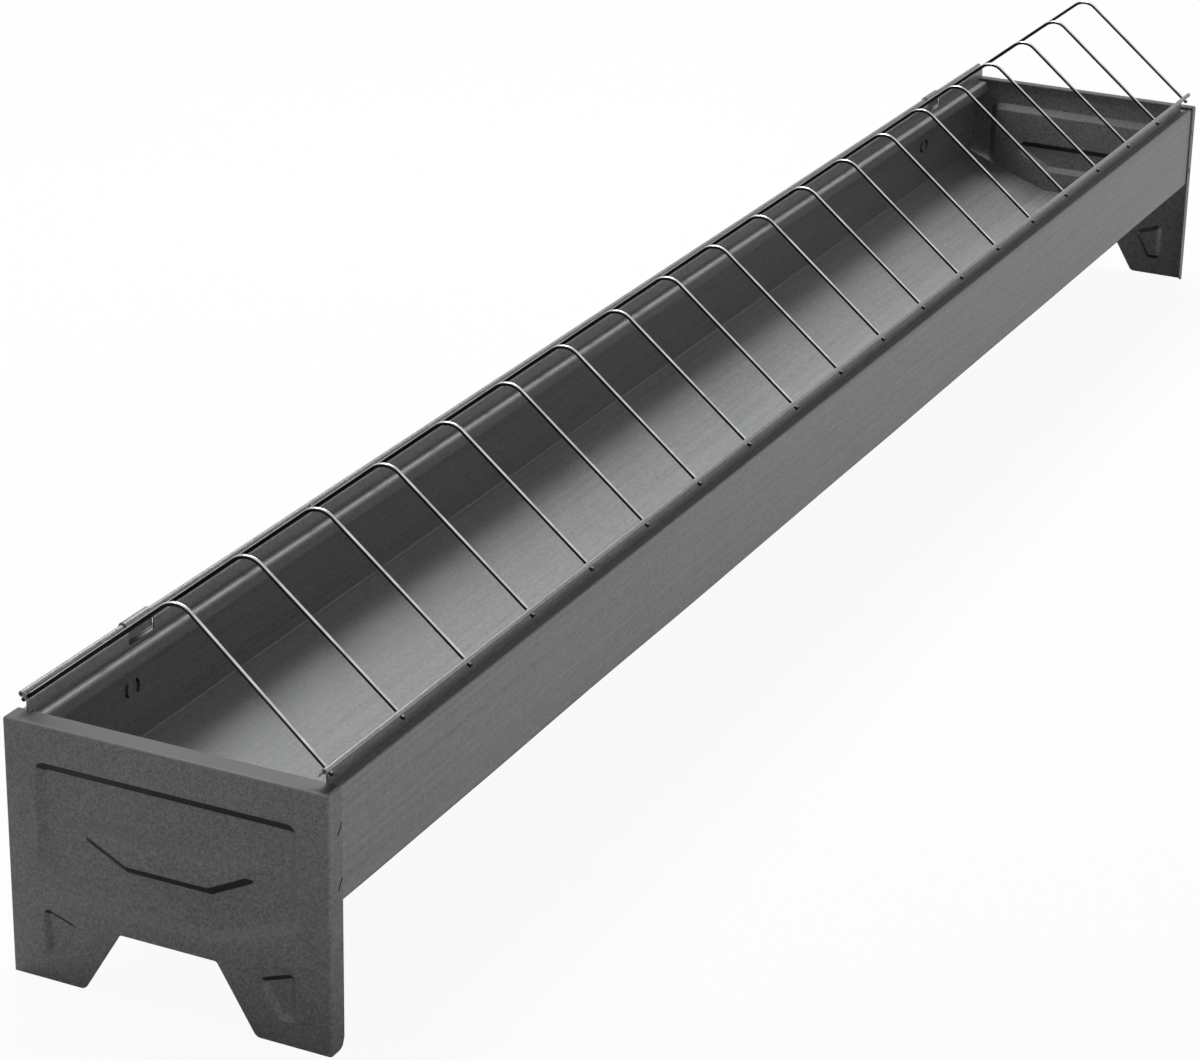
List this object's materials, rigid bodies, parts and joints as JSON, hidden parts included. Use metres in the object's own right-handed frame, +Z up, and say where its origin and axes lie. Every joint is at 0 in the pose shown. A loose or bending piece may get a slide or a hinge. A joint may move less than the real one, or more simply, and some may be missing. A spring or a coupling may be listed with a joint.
{
  "type": "poultry trough feeder",
  "caption": "Long galvanised trough on two pressed end plates, with a ridge of bent wires over it that swings open on a rolled hinge along the rear rim.",
  "frame": {"origin": "centre of the underside, on the floor under the feet", "axes": "+X along the trough from the near end plate to the far one, +Y to the rear side with the hinge, +Z up"},
  "size_m": [1, 0.137, 0.1602],
  "materials": {
    "trough_sheet": "galvanised sheet, dull, finely mottled",
    "plate_sheet": "galvanised sheet, pressed, dull",
    "clip_steel": "galvanised strip, bent, dull",
    "strip_sheet": "galvanised sheet, rolled and folded, dull",
    "grid_wire": "zinc-coated drawn wire, half bright"
  },
  "bodies": {
    "trough": {"trough_body": "trough_sheet", "near_end_plate": "plate_sheet", "far_end_plate": "plate_sheet", "hinge_clip_near": "clip_steel", "hinge_clip_far": "clip_steel"},
    "grid": {"grid_front_strip": "strip_sheet", "grid_rear_strip": "strip_sheet", "wire_01": "grid_wire", "wire_02": "grid_wire", "wire_03": "grid_wire", "wire_04": "grid_wire", "wire_05": "grid_wire", "wire_06": "grid_wire", "wire_07": "grid_wire", "wire_08": "grid_wire", "wire_09": "grid_wire", "wire_10": "grid_wire", "wire_11": "grid_wire", "wire_12": "grid_wire", "wire_13": "grid_wire", "wire_14": "grid_wire", "wire_15": "grid_wire", "wire_16": "grid_wire", "wire_17": "grid_wire", "wire_18": "grid_wire", "wire_19": "grid_wire", "wire_20": "grid_wire"}
  },
  "joints": [
    {"name": "grid_hinge", "type": "hinge", "parent": "trough", "child": "grid", "pos_m": [0, 0.0645, 0.112], "axis": [-1, 0, 0], "range_deg": [0, 200]}
  ]
}
